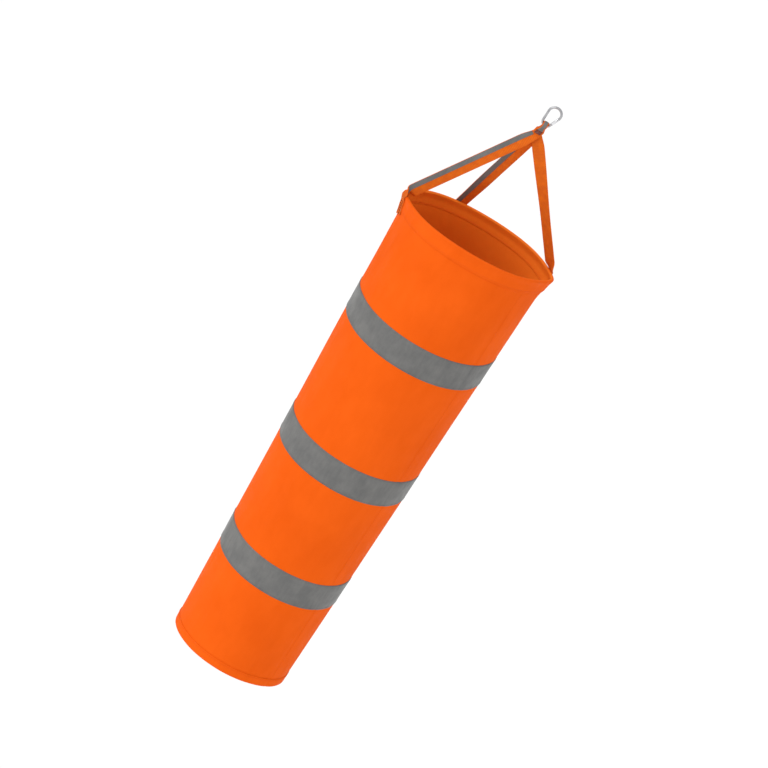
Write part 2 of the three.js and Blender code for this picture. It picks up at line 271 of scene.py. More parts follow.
def makeCloth():
    look = clothLook
    surface = Surface("orangeCoatedCloth", Specular_IOR_Level=0.05)
    across, along = surface.onCloth()
    weave = across.wave(look["thread"]) * along.wave(look["thread"])
    patch = surface.noise(look["patch"], detail=4)
    crease = surface.noise(look["crease"], detail=5, roughness=0.6, stretch=(1, 1, 0.35))
    tone = surface.ranged(patch * 0.7 + crease * 0.3, 0.35, 0.68)
    dyed = surface.between(tone, look["colour"], look["deep"])
    # darker in the weave's hollows, where its bump is low: painted shade
    weaveShaded = surface.between((1 - weave) * look["weaveHollowShade"], dyed, look["deep"])
    # faces turned to the axis get the inner colour, painted light and shade of the sleeve's inside
    surface.set("Base Color", surface.between(surface.towardsAxis(), weaveShaded, look["insideLightAndShade"]))
    surface.set("Roughness", surface.ranged(crease, 0.3, 0.7, *look["roughness"]))
    folds = surface.bump(crease, look["creaseHeight"], 0.5)
    surface.set("Normal", surface.bump(weave, look["weaveHeight"], 0.6, under=folds))
    return surface.material


webbingLook = {
    "colour": (0.92, 0.188, 0.008),
    "deep": (0.67, 0.106, 0.005),
    "rib": 1.5 * mm,
    "ribHeight": 0.22 * mm,
    "yarn": 0.8 * mm,
    "wear": 9 * mm,
    "roughness": (0.72, 0.92),
}


def makeWebbing():
    look = webbingLook
    surface = Surface("orangeWebbing", Specular_IOR_Level=0.2)
    across, along = surface.onCloth()
    ribs = (along + 0.35 * abs(across.wave(4 * look["rib"])) * look["rib"]).wave(look["rib"])
    yarns = across.wave(look["yarn"])
    weave = ribs * 0.7 + ribs * yarns * 0.3
    wear = surface.noise(look["wear"], detail=4)
    # darker in the ribs' hollows, where the bump is low: painted shade, mixed with random wear
    tone = surface.ranged(weave * 0.25 + wear, 0.2, 0.95)
    surface.set("Base Color", surface.between(1 - tone, look["colour"], look["deep"]))
    surface.set("Roughness", surface.ranged(wear, 0.3, 0.7, *look["roughness"]))
    surface.set("Normal", surface.bump(weave, look["ribHeight"], 0.8))
    return surface.material


tapeLook = {
    "colour": (0.212, 0.208, 0.200),
    "deep": (0.150, 0.150, 0.147),
    "bead": 0.5 * mm,
    "beadHeight": 0.06 * mm,
    "rub": 26 * mm,  # where handling has dulled the beads
    "streak": 5 * mm,
    "streakHeight": 0.5 * mm,
    "roughness": (0.34, 0.52),
    "metallic": (0.22, 0.10),
}


def makeTape():
    look = tapeLook
    surface = Surface("greyBeadTape", Specular_IOR_Level=0.1)
    place = surface.onPiece()
    beads = surface.node("ShaderNodeTexVoronoi", values={"Vector": place, "Scale": 1 / look["bead"]})
    rub = surface.noise(look["rub"], detail=5, roughness=0.6)
    streak = surface.noise(look["streak"], stretch=(1, 1, 0.25))
    tone = surface.ranged(rub * 0.6 + streak * 0.25 + beads * 0.15, 0.3, 0.62)
    surface.set("Base Color", surface.between(tone, look["colour"], look["deep"]))
    surface.set("Roughness", surface.ranged(rub, 0.3, 0.7, *look["roughness"]))
    surface.set("Metallic", surface.ranged(rub, 0.3, 0.7, *look["metallic"]))
    creases = surface.bump(streak, look["streakHeight"], 0.35)
    surface.set("Normal", surface.bump(beads, look["beadHeight"], 0.5, under=creases))
    return surface.material


threadLook = {"twist": 0.7 * mm, "twistHeight": 0.12 * mm, "roughness": (0.55, 0.75)}


def makeThread(name, colour, deep):
    look = threadLook
    surface = Surface(name, Specular_IOR_Level=0.15)
    twist = surface.noise(look["twist"], detail=2, stretch=(1, 1, 2))
    surface.set("Base Color", surface.between(surface.ranged(twist, 0.3, 0.7), colour, deep))
    surface.set("Roughness", surface.ranged(twist, 0.3, 0.7, *look["roughness"]))
    surface.set("Normal", surface.bump(twist, look["twistHeight"], 0.7))
    return surface.material


metalLook = {"cloud": 6 * mm, "scratch": 1.1 * mm, "scratchHeight": 0.03 * mm, "duller": 0.16}


def makeMetal(name, colour, deep, roughness):
    look = metalLook
    surface = Surface(name, Metallic=1.0)
    cloud = surface.noise(look["cloud"], detail=4)
    lines = surface.noise(look["scratch"], detail=4, roughness=0.7, stretch=(1, 1, 0.12))
    surface.set("Base Color", surface.between(surface.ranged(cloud, 0.3, 0.7), colour, deep))
    dull = cloud * 0.5 + lines * 0.5
    surface.set("Roughness", surface.ranged(dull, 0.3, 0.7, roughness, roughness + look["duller"]))
    surface.set("Normal", surface.bump(lines, look["scratchHeight"], 0.4))
    return surface.material


finishes = {
    "cloth": makeCloth(),
    "webbing": makeWebbing(),
    "tape": makeTape(),
    "thread": makeThread("orangeThread", (0.86, 0.112, 0.006), (0.66, 0.080, 0.005)),
    "darkThread": makeThread("rustThread", (0.30, 0.040, 0.012), (0.17, 0.022, 0.008)),
    "greyThread": makeThread("greyThread", (0.22, 0.20, 0.19), (0.14, 0.13, 0.125)),
    "zinc": makeMetal("brightZinc", (0.50, 0.50, 0.51), (0.38, 0.38, 0.40), 0.2),
    "gateZinc": makeMetal("polishedZinc", (0.82, 0.82, 0.83), (0.70, 0.70, 0.72), 0.14),
    "steel": makeMetal("drawnSteel", (0.46, 0.46, 0.47), (0.33, 0.33, 0.34), 0.26),
}
print("materials made:", len(finishes))


def addPiece(piece, body, finish, stands=()):
    piece.data.materials.clear()
    piece.data.materials.append(finishes[finish])
    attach(piece, body)
    if stands:
        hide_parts(*stands)
    return piece


# the sleeve's surface, which everything sewn to it follows

hoopLow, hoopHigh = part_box("mouth_hoop")
sockLow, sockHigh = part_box("sock_body")

sleeve = {
    "x": (hoopLow.x + hoopHigh.x) / 2,
    "mouthZ": (hoopLow.z + hoopHigh.z) / 2,
    "mouthRadius": 127.2 * mm,
    "tailRadius": 98.3 * mm,
    "spread": 5.4 * mm,  # the side straps hold the mouth wide
    "spreadReach": 40 * mm,
    "pinch": 18 * mm,  # and so narrow from front to back
    "pinchReach": 110 * mm,
    "corner": 0.4,  # how far it is drawn to a point at its left and right ends
    "cornerReach": 70 * mm,
    "bandBow": 10.4 * mm,
    "tailBow": 3.8 * mm,
    "bowFrom": 188 * mm,
    "bowTo": 624 * mm,
    "cloth": 0.45 * mm,
    "columns": 320,
    "rows": 116,
    "topInHem": 5 * mm,  # how far its edges lie inside the two hems
    "tailInHem": 1 * mm,
    "seamAngle": math.radians(52.5),
}
sleeve["length"] = sleeve["mouthZ"] - sockLow.z
feet = {"left": math.radians(-76), "right": math.radians(114), "back": math.radians(-158)}
bandNodes = ["reflective_band_upper", "reflective_band_middle", "reflective_band_lower"]
bandWidth = 48 * mm
bandDepths = [sleeve["mouthZ"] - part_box(node)[0].z - bandWidth / 2 for node in bandNodes]
hemDepth = {"mouth": 22 * mm, "tail": 14 * mm}
rowInset = 3 * mm  # a row of stitches from the edge that it holds
stitchedDepths = [hemDepth["mouth"] - rowInset, sleeve["length"] - hemDepth["tail"] + rowInset]
for bandDepth in bandDepths:
    stitchedDepths += [bandDepth - bandWidth / 2, bandDepth + bandWidth / 2]


def halfAxes(depth):
    t = max(depth, 0) / sleeve["length"]
    around = mix(sleeve["mouthRadius"], sleeve["tailRadius"], t)
    spread = sleeve["spread"] * (1 - smoothStep(depth, 0, sleeve["spreadReach"]))
    pinch = sleeve["pinch"] * (1 - smoothStep(depth, 0, sleeve["pinchReach"]))
    corner = sleeve["corner"] * (1 - smoothStep(depth, 0, sleeve["cornerReach"]))
    return around + spread, around - pinch, corner


def girthRadius(depth):
    return mix(sleeve["mouthRadius"], sleeve["tailRadius"], depth / sleeve["length"])


def bowAt(depth):
    rise = smoothStep(depth, 0, sleeve["bowFrom"])
    fall = smoothStep(depth, sleeve["bowTo"], sleeve["length"])
    return sleeve["bandBow"] * rise - (sleeve["bandBow"] - sleeve["tailBow"]) * fall


hang = {
    "freeFrom": 10 * mm,  # the cloth is held flat above this depth, and hangs free below the next
    "freeTo": 90 * mm,
    "swell": 0.9 * mm,  # soft waves in the hanging cloth
    "broad": {"across": 1.5, "up": 2.2, "share": 1.3},
    "fine": {"across": 4.5, "up": 9, "share": 0.45},
    "drag": 1.1 * mm,  # creases that run down from the straps' feet
    "dragFrom": 30 * mm,
    "dragTo": 200 * mm,
    "dragWidth": 0.16,  # radians at the rim, and how much wider for each metre down
    "dragSpread": 1.8,
    "dragCreases": 26,
    "dragThinning": 9,
    "seamDip": 0.45 * mm,
    "seamDipWidth": 2.2 * mm,
    "pucker": 0.22 * mm,  # cloth gathered by a row of stitches
    "puckerPitch": 12 * mm,
    "puckerReach": 18 * mm,
}


def roundNoise(angle, height, across, up):  # noise that meets itself after a full turn
    return noise.noise(Vector((math.sin(angle) * across, math.cos(angle) * across, height * up)))


def swellAt(angle, depth):
    layers = [hang["broad"], hang["fine"]]
    return sum(roundNoise(angle, depth, own["across"], own["up"]) * own["share"] for own in layers)


def dragAt(angle, depth):
    out = 0
    for foot in feet.values():
        turn = math.remainder(angle - foot, fullTurn)
        beside = math.exp(-((turn / (hang["dragWidth"] + depth * hang["dragSpread"])) ** 2))
        reach = beside * (1 - smoothStep(depth, hang["dragFrom"], hang["dragTo"]))
        out += reach * math.cos(turn * hang["dragCreases"] / (1 + depth * hang["dragThinning"]))
    return out


def seamDipAt(angle, depth):
    fromSeam = math.remainder(angle - sleeve["seamAngle"], fullTurn) * girthRadius(depth)
    return math.exp(-((fromSeam / hang["seamDipWidth"]) ** 2))


def puckerAt(angle, depth):
    row = min(stitchedDepths, key=lambda stitched: abs(depth - stitched))
    wander = roundNoise(angle, depth, 6, 30)
    count = round(fullTurn * girthRadius(row) / hang["puckerPitch"])
    fade = 1 - smoothStep(abs(depth - row), 0, hang["puckerReach"])
    return math.sin(angle * count + wander * 5) * fade * (0.6 + 0.6 * wander)


def wave(angle, depth):  # how far the hanging cloth stands in or out of its smooth cone
    free = smoothStep(depth, hang["freeFrom"], hang["freeTo"])
    out = hang["swell"] * swellAt(angle, depth) + hang["drag"] * dragAt(angle, depth)
    out -= hang["seamDip"] * seamDipAt(angle, depth)
    return out * free + hang["pucker"] * puckerAt(angle, depth)


def onSleeve(angle, depth, offset=0.0, waved=True):
    lift = bowAt(depth) * (1 - math.cos(angle))
    halfX, halfY, corner = halfAxes(depth - lift)
    out = offset + (wave(angle, depth) if waved else 0)
    narrow = 1 - corner * math.sin(angle) ** 6
    x = (halfX + out) * math.sin(angle)
    y = -(halfY * narrow + out) * math.cos(angle)
    return Vector((sleeve["x"] + x, y, sleeve["mouthZ"] - depth + lift))


def outOfSleeve(angle, depth):
    step = 0.01
    across = onSleeve(angle + step, depth, waved=False) - onSleeve(angle - step, depth, waved=False)
    down = onSleeve(angle, depth + step, waved=False) - onSleeve(angle, depth - step, waved=False)
    return down.cross(across).normalized()


def sheetPiece(name, columns, rows, place, width, height):
    # a grid, laid where place(u, v) says, with its UV map in metres
    clearSelection()
    bpy.ops.mesh.primitive_grid_add(x_subdivisions=columns, y_subdivisions=rows, size=1)
    piece = named(name)
    for vertex in piece.data.vertices:
        vertex.co = place(vertex.co.x + 0.5, vertex.co.y + 0.5)
    coords = np.empty(len(piece.data.loops) * 2, dtype=np.float32)
    layer = piece.data.uv_layers.active.data
    layer.foreach_get("uv", coords)
    coords = coords.reshape(-1, 2) * (width, height)
    layer.foreach_set("uv", coords.ravel())
    mergeDoubles(piece)
    return piece


def ringPiece(name, profile, rows):
    # a ring right round the sleeve: profile(v) gives the offset and depth at each point of its height
    spans = 40
    length = sum(math.dist(profile(i / spans), profile((i + 1) / spans)) for i in range(spans))

    def place(u, v):
        offset, depth = profile(v)
        return onSleeve(u * fullTurn + math.pi, depth, offset)

    around = fullTurn * sleeve["mouthRadius"]
    return sheetPiece(name, sleeve["columns"], rows, place, around, length)


def makeSleeve():
    top = sleeve["topInHem"]
    bottom = sleeve["length"] - sleeve["tailInHem"]
    piece = ringPiece("sleeveCloth", lambda v: (0.0, mix(bottom, top, v)), sleeve["rows"])
    thicken(piece, sleeve["cloth"])
    smooth(piece)
    return piece


sleeveCloth = addPiece(makeSleeve(), "sock", "cloth", ["sock_body"])
print("sleeve made")

# hems: the cloth folded over the hoop at the mouth, and turned up at the tail

hem = {
    "cloth": 0.4 * mm,
    "clear": 0.3 * mm,  # outer face above the sleeve's
    "wireOffset": -0.6 * mm,  # the hoop, from the sleeve's outer face
    "pocket": 3.0 * mm,
    "neck": 8 * mm,
    "flat": 15 * mm,  # its two layers lie flat from here to the row of stitches
    "slack": 0.35 * mm,
    "columns": 360,
    "girth": 54 * mm,  # of cloth, from edge to edge over the wire
    "tailFlat": 5 * mm,
    "tailFold": 0.9 * mm,  # the fold hangs this far below the sleeve's end
}
hemOutside = hem["clear"] + hem["cloth"]
hemInside = -sleeve["cloth"] - hem["clear"]


def pointOn(line, t):
    first, second, share = stretchOf(line, t)
    return first.lerp(second, share)


def makeMouthHem():
    depths = [hemDepth["mouth"], hem["flat"], hem["neck"]]
    points = [Vector((hemOutside, depth)) for depth in depths]
    for step in range(7):
        turn = math.pi * step / 6
        across = hem["wireOffset"] + hem["pocket"] * math.cos(turn)
        points.append(Vector((across, -hem["pocket"] * math.sin(turn))))
    points += [Vector((hemInside, depth)) for depth in reversed(depths)]
    line = curveThrough(points, 4)

    def place(u, v):
        angle = u * fullTurn + math.pi
        offset, depth = pointOn(line, v)
        loose = roundNoise(angle, v, 7, 2)
        return onSleeve(angle, depth, offset + hem["slack"] * loose * (depth < hem["neck"]))

    around = fullTurn * sleeve["mouthRadius"]
    piece = sheetPiece("mouthHem", hem["columns"], len(line) - 1, place, around, hem["girth"])
    thicken(piece, hem["cloth"])
    smooth(piece)
    return piece


def makeTailHem():
    end = sleeve["length"]
    top, flat, fold = end - hemDepth["tail"], end - hem["tailFlat"], end + hem["tailFold"]
    points = [Vector(p) for p in (
        (hemInside, top), (hemInside, flat), (hemInside, end), (hemInside / 2, fold),
        (hemOutside / 2, fold), (hemOutside, end), (hemOutside, flat), (hemOutside, top))]
    line = curveThrough(points, 3)
    piece = ringPiece("tailHem", lambda v: tuple(pointOn(line, v)), len(line) - 1)
    thicken(piece, hem["cloth"])
    smooth(piece)
    return piece


mouthHem = addPiece(makeMouthHem(), "sock", "cloth", ["mouth_hem"])
tailHem = addPiece(makeTailHem(), "sock", "cloth", ["tail_hem"])

# the seam allowance inside, pressed to one side

seam = {
    "width": 12 * mm,
    "thickness": 0.6 * mm,
    "clear": 0.25 * mm,
    "curl": 0.5 * mm,
    "rows": 90,
    "top": 27 * mm,
    "bottom": 19 * mm,
    "stitchesAcross": 4 * mm,  # from the seam to its row of stitches
    "stitchesInset": 3 * mm,
}


def makeSeam():
    bottom = sleeve["length"] - seam["bottom"]

    def place(u, v):
        depth = mix(bottom, seam["top"], v)
        angle = sleeve["seamAngle"] + (0.5 - u) * seam["width"] / girthRadius(depth)
        curl = seam["curl"] * noise.noise(Vector((0, u * 2, depth * 40))) * abs(u - 0.5) * 2
        return onSleeve(angle, depth, -sleeve["cloth"] - seam["thickness"] - seam["clear"] + curl)

    piece = sheetPiece("sideSeam", 8, seam["rows"], place, seam["width"], bottom - seam["top"])
    thicken(piece, seam["thickness"], offset=0.0)
    roundEdges(piece, seam["thickness"] / 4)
    smooth(piece, 60)
    return piece


sideSeam = addPiece(makeSeam(), "sock", "cloth", ["side_seam"])
print("hems and seam made")

# reflective bands

band = {
    "clear": 0.12 * mm,
    "thickness": 0.38 * mm,
    "crown": 0.08 * mm,  # its middle stands this far above its stitched edges
    "rows": 14,
    "stitchesInset": 2.2 * mm,
}
bandTop = band["clear"] + band["thickness"]


def makeBand(name, depth):
    def profile(v):
        edge = 1 - abs(2 * v - 1)  # 0 at both edges
        return bandTop + band["crown"] * smoothStep(edge, 0, 0.12), depth + bandWidth * (0.5 - v)

    piece = ringPiece(name, profile, band["rows"])
    thicken(piece, band["thickness"])
    smooth(piece)
    return piece


tapes = [
    addPiece(makeBand(name, depth), "sock", "tape", [node])
    for name, node, depth in zip(("upperBand", "middleBand", "lowerBand"), bandNodes, bandDepths)
]
print("bands made")

# rows of stitches: one stitch, copied along each row

stitch = {
    "length": 2.9 * mm,
    "pitch": 3.9 * mm,
    "radius": 0.3 * mm,
    "sink": 0.35 * mm,
    "above": 0.2 * mm,  # its middle, above the face that it is sewn on
}


def lathePiece(name, profile, steps):
    # spins an outline of (radius, z) points, from axis to axis, about Z
    clearSelection()
    bpy.ops.mesh.primitive_circle_add(vertices=len(profile), radius=1, fill_type="NOTHING")
    piece = named(name)
    for vertex, (radius, z) in zip(piece.data.vertices, profile):
        vertex.co = (radius, 0, z)
    editMode(piece)
    bpy.ops.mesh.spin(steps=steps, angle=fullTurn, center=(0, 0, 0), axis=(0, 0, 1))
    objectMode()
    mergeDoubles(piece, max(abs(z) for _, z in profile) * 1e-4)  # the ends close on the axis
    editMode(piece)
    bpy.ops.mesh.dissolve_degenerate(threshold=1e-8)
    objectMode()
    return piece


def makeStitch():
    half = stitch["length"] / 2
    radius = stitch["radius"]
    profile = [(0, -half), (0.7 * radius, -0.9 * half), (radius, -0.5 * half),
               (radius, 0.5 * half), (0.7 * radius, 0.9 * half), (0, half)]
    piece = lathePiece("stitch", profile, 6)
    piece.data.transform(Matrix.Rotation(math.pi / 2, 4, "Y"))
    for vertex in piece.data.vertices:
        vertex.co.z -= stitch["sink"] * (vertex.co.x / half) ** 2  # its ends go down into the cloth
    return piece


stitchShape = makeStitch()


def sewn(name, places):
    # one piece with a copy of the stitch at every (middle, direction, outward)
    template = np.array([v.co for v in stitchShape.data.vertices])
    corners = [list(face.vertices) for face in stitchShape.data.polygons]
    points, faces = [], []
    for middle, direction, outward in places:
        along = direction.normalized()
        side = outward.cross(along).normalized()
        up = along.cross(side)
        turned = template @ np.array([along, side, up]) + np.array(middle)
        faces += [[index + len(points) * len(template) for index in face] for face in corners]
        points.append(turned)
    mesh = bpy.data.meshes.new(name)
    mesh.from_pydata(np.concatenate(points).tolist(), [], faces)
    piece = bpy.data.objects.new(name, mesh)
    bpy.context.scene.collection.objects.link(piece)
    smooth(piece)
    return piece


def rowOnSleeve(corners, offset, inside=False):
    # stitches along straight runs between (angle, depth) corners
    places = []
    for (angle, depth), (nextAngle, nextDepth) in zip(corners, corners[1:]):
        run = math.hypot((nextAngle - angle) * girthRadius(depth), nextDepth - depth)
        count = max(round(run / stitch["pitch"]), 1)
        for i in range(count):
            t = (i + 0.5) / count
            a, d = mix(angle, nextAngle, t), mix(depth, nextDepth, t)
            step = 0.2 / count
            ahead = onSleeve(mix(angle, nextAngle, t + step), mix(depth, nextDepth, t + step), offset)
            middle = onSleeve(a, d, offset)
            outward = outOfSleeve(a, d) * (-1 if inside else 1)
            places.append((middle, ahead - middle, outward))
    return places


def ringRow(depth, offset, inside=False):
    return rowOnSleeve([(0, depth), (fullTurn, depth)], offset, inside)


def makeStitches():
    pieces = []
    hemTop = hemOutside + stitch["above"]
    hemUnder = hemInside - hem["cloth"] - stitch["above"]
    mouthRow = hemDepth["mouth"] - rowInset
    tailRow = sleeve["length"] - hemDepth["tail"] + rowInset
    hemRows = ringRow(mouthRow, hemTop) + ringRow(tailRow, hemTop)
    pieces.append(addPiece(sewn("hemStitches", hemRows), "sock", "thread"))
    innerRows = ringRow(mouthRow, hemUnder, True) + ringRow(tailRow, hemUnder, True)
    pieces.append(addPiece(sewn("hemStitchesInside", innerRows), "sock", "thread"))
    tapeTop = bandTop + stitch["above"]
    for tape, depth in zip(tapes, bandDepths):
        inset = bandWidth / 2 - band["stitchesInset"]
        rows = ringRow(depth - inset, tapeTop) + ringRow(depth + inset, tapeTop)
        pieces.append(addPiece(sewn(tape.name + "Stitches", rows), "sock", "greyThread"))
    beyond = seam["stitchesInset"]
    top, bottom = seam["top"] - beyond, sleeve["length"] - seam["bottom"] + beyond
    angle = sleeve["seamAngle"] + seam["stitchesAcross"] / sleeve["mouthRadius"]
    runs = []
    edges = [top, *[d + s * bandWidth / 2 for d in bandDepths for s in (-1, 1)], bottom]
    for start, end in zip(edges[::2], edges[1::2]):
        runs += rowOnSleeve([(angle, start + 2 * mm), (angle, end - 2 * mm)], 0.18 * mm)
    pieces.append(addPiece(sewn("seamStitches", runs), "sock", "thread"))
    return pieces


stitches = makeStitches()
print("stitches sewn:", sum(len(piece.data.polygons) for piece in stitches), "faces")

# straps: webbing from the crown to the rim, over the hem and down its outside

swingAt = Vector(next(j["pos_m"] for j in frame["joints"] if j["name"] == "sock_swing"))

strap = {
    "width": 20 * mm,
    "thickness": 1.2 * mm,
    "stripeWidth": 7.5 * mm,
    "stripeInset": 0.5 * mm,
    "stripeThickness": 0.3 * mm,
    "crown": Vector((-8.3 * mm, 0, -49.5 * mm)),  # bottom of the stitching that joins them
    "crownHeight": 8 * mm,
    "crownPitch": 1.9 * mm,
    "gather": 0.75,  # the webbing is gathered to this part of its width there
    "gatherReach": 25 * mm,
    "turnReach": 150 * mm,
    "foot": 30 * mm,
    "steps": 72,
    "cup": 0.25 * mm,
    "overWire": 0.3 * mm,  # clear of the hem where it goes over the hoop
    "onHem": 0.12 * mm,  # and where it is sewn down
    "stripeClear": 0.12 * mm,
    "stripeStarts": 3,  # stations from the crown, and to the strap's end
    "stripeStops": 28,
    "boxHalf": 7.5 * mm,  # the box of stitches on its foot
    "boxTop": 9 * mm,
    "boxBottom": 27.5 * mm,
    "boxAbove": 0.25 * mm,
}
straps = {
    "left": {"foot": feet["left"], "layer": -1, "turn": 0.1, "twistOver": 0.07, "face": 1, "edge": -1},
    "right": {"foot": feet["right"], "layer": 0, "turn": -0.5, "twistOver": 0.07, "face": -1, "edge": 1},
    "back": {"foot": feet["back"], "layer": 1, "turn": -0.5, "twistOver": 0.6, "face": 1, "edge": -1},
}
crownLean = math.atan((swingAt.x - strap["crown"].x) / (swingAt.z - strap["crown"].z))


def strapFrames(own):
    # stations down the webbing: its middle, the ways across it and out of its face, and its gather
    half = strap["thickness"] / 2
    over = hem["wireOffset"] + hem["pocket"] + strap["overWire"] + half
    resting = hemOutside + strap["onHem"] + half
    crown = strap["crown"] + Vector((0, own["layer"] * strap["crownPitch"], 0))
    crownTop = crown + Vector((math.tan(crownLean), 0, 1)) * strap["crownHeight"]
    rim = onSleeve(own["foot"], -2.6 * mm, over - 0.7 * mm, waved=False)
    spans = strap["steps"]
    straight = [crown.lerp(rim, 1 - (1 - i / spans) ** 1.4) for i in range(spans)]
    depths = [(0.4, over), (4, over - 0.8 * mm), (9, resting), (16, resting), (23, resting),
              (strap["foot"] / mm, resting)]
    around = [rim] + [onSleeve(own["foot"], depth * mm, offset, waved=False) for depth, offset in depths]
    line = [crownTop, crownTop.lerp(crown, 0.5)] + straight + curveThrough(around, 5)
    rimIndex = 2 + spans
    length = (crown - rim).length
    onRim = onSleeve(own["foot"] - 0.01, 0, waved=False) - onSleeve(own["foot"] + 0.01, 0, waved=False)
    onRim.normalize()
    frames = []
    for i, point in enumerate(line):
        along = (line[min(i + 1, len(line) - 1)] - line[max(i - 1, 0)]).normalized()
        fromFoot = smoothStep((point - rim).length / length, 0, own["twistOver"]) if i < rimIndex else 0
        fromCrown = (point - crown).length if i > 1 else 0
        turn = own["turn"] * smoothStep(fromCrown, 0, strap["turnReach"])
        atCrown = Vector((math.cos(turn), math.sin(turn), 0))
        across = onRim.lerp(atCrown, fromFoot)
        across = (across - along * across.dot(along)).normalized()
        gather = mix(strap["gather"], 1, smoothStep(fromCrown, 0, strap["gatherReach"]))
        frames.append({"point": point, "across": across, "out": along.cross(across), "gather": gather})
    return frames


def frameAt(frames, t):
    first, second, share = stretchOf(frames, t)
    mixed = {key: mix(first[key], second[key], share) for key in first}
    mixed["across"].normalize()
    mixed["out"].normalize()
    return mixed


def ribbonPiece(name, frames, edges, height, thickness, cup, columns=10, rounded=True):
    # webbing laid along the stations, between two edges across it, at a height out of its face;
    # cup is how far the strap's own edges curl out of its plane
    low, high = edges
    length = sum((a["point"] - b["point"]).length for a, b in zip(frames, frames[1:]))

    def place(u, v):
        at = frameAt(frames, 1 - v)
        across = mix(low, high, u)
        bend = cup * (across / (strap["width"] / 2)) ** 2
        return at["point"] + at["across"] * at["gather"] * across + at["out"] * (height + bend)

    piece = sheetPiece(name, columns, (len(frames) - 1) * 2, place, high - low, length)
    thicken(piece, thickness, offset=0.0)
    if rounded:
        roundEdges(piece, thickness * 0.3)
    smooth(piece, 60)
    return piece


def footRows(own):
    # a box of stitches with a cross in it, on the outside of the strap's foot
    offset = hemOutside + strap["boxAbove"] + strap["thickness"] + stitch["above"]
    half, top, bottom = strap["boxHalf"], strap["boxTop"], strap["boxBottom"]
    corners = [(-half, top), (half, top), (half, bottom), (-half, bottom), (-half, top), (half, bottom)]
    cross = [(half, top), (-half, bottom)]
    places = []
    for run in (corners, cross):
        angles = [(own["foot"] + across / sleeve["mouthRadius"], depth) for across, depth in run]
        places += rowOnSleeve(angles, offset)
    return places


def makeStrap(side):
    own = straps[side]
    frames = strapFrames(own)
    half = strap["width"] / 2
    face = strap["thickness"] / 2
    body = ribbonPiece(side + "Strap", frames, (-half, half), 0, strap["thickness"], strap["cup"])
    outer = (half - strap["stripeInset"]) * own["edge"]
    inner = (half - strap["stripeInset"] - strap["stripeWidth"]) * own["edge"]
    lift = (face + strap["stripeThickness"] / 2 + strap["stripeClear"]) * own["face"]
    seen = frames[strap["stripeStarts"]:-strap["stripeStops"]]
    stripe = ribbonPiece(side + "StrapStripe", seen, sorted((outer, inner)), lift, strap["stripeThickness"],
                         strap["cup"], 6, rounded=False)
    sewnFoot = sewn(side + "FootStitches", footRows(own))
    addPiece(body, "sock", "webbing", ["strap_" + side])
    addPiece(stripe, "sock", "tape", ["strap_stripe_" + side])
    addPiece(sewnFoot, "sock", "darkThread", ["foot_stitching_" + side])


for side in straps:
    makeStrap(side)
print("straps made")

# the loop of webbing over the hook's wire, and the tacks that close it on the straps

loop = {
    "top": 9 * mm,
    "tail": 15 * mm,
    "radius": 6.1 * mm,  # of the webbing's middle, about the wire's
    "tailGap": 3.95 * mm,
    "neck": 10 * mm,
    "thickness": 1.6 * mm,
    "cup": -0.5 * mm,
    "stripe": 0.66,  # of its width
    "tackRows": 8,
    "tackPitch": 0.85 * mm,
    "tackColumns": 4,
    "tackAcross": 2.6 * mm,
    "tackAbove": 0.35 * mm,
}


def loopFrames():
    end = swingAt.z - strap["crown"].z - 1 * mm
    side = [(loop["tailGap"], -end), (loop["tailGap"], -0.5 * (end + loop["neck"])),
            (loop["tailGap"], -loop["neck"]), (loop["radius"] - 0.1 * mm, -2.6 * mm)]
    arc = [(loop["radius"] * math.cos(math.pi * i / 8), loop["radius"] * math.sin(math.pi * i / 8))
           for i in range(9)]
    other = [(-y, z) for y, z in reversed(side)]
    line = curveThrough([Vector(p) for p in side + arc + other], 4)
    frames = []
    for i, (y, z) in enumerate(line):
        ahead = line[min(i + 1, len(line) - 1)] - line[max(i - 1, 0)]
        ahead.normalize()
        below = smoothStep(-z, 3 * mm, 13 * mm)
        lean = min(z, 0) * math.tan(crownLean)
        frames.append({
            "point": swingAt + Vector((lean, y, z)),
            "across": Vector((1, 0, 0)),
            "out": Vector((0, ahead.y, -ahead.x)),
            "gather": mix(loop["top"], loop["tail"], below) / strap["width"],
        })
    return frames


def makeLoop():
    frames = loopFrames()
    half = strap["width"] / 2
    body = ribbonPiece("webbingLoop", frames, (-half, half), 0, loop["thickness"], loop["cup"])
    stripeHalf = half * loop["stripe"]
    height = loop["thickness"] / 2 + strap["stripeClear"]
    stripe = ribbonPiece("loopStripe", frames, (-stripeHalf, stripeHalf), height, strap["stripeThickness"],
                         loop["cup"], 6)
    addPiece(body, "sock", "webbing", ["webbing_loop"])
    addPiece(stripe, "sock", "tape")


def makeTack(name, side, node):
    # dense rows of thread across the tail of the loop
    places = []
    y = side * (loop["tailGap"] + loop["thickness"] / 2 + loop["tackAbove"])
    outward = Vector((0, side, 0))
    lean = Vector((math.tan(crownLean), 0, 1))
    for row in range(loop["tackRows"]):
        up = 1 * mm + row * loop["tackPitch"]
        zigzag = 1 if row % 2 else -1
        for column in range(loop["tackColumns"]):
            across = (column - (loop["tackColumns"] - 1) / 2) * loop["tackAcross"] + zigzag * 0.4 * mm
            middle = strap["crown"] + lean * up + Vector((across, y, 0))
            places.append((middle, Vector((1, 0, zigzag * 0.18)), outward))
    addPiece(sewn(name, places), "sock", "darkThread", [node])


makeLoop()
makeTack("frontTack", -1, "crown_stitching_front")
makeTack("backTack", 1, "crown_stitching_back")
print("loop made")

# snap hook, worked in millimetres in its own plane: x towards the gate, z up from the upper bow

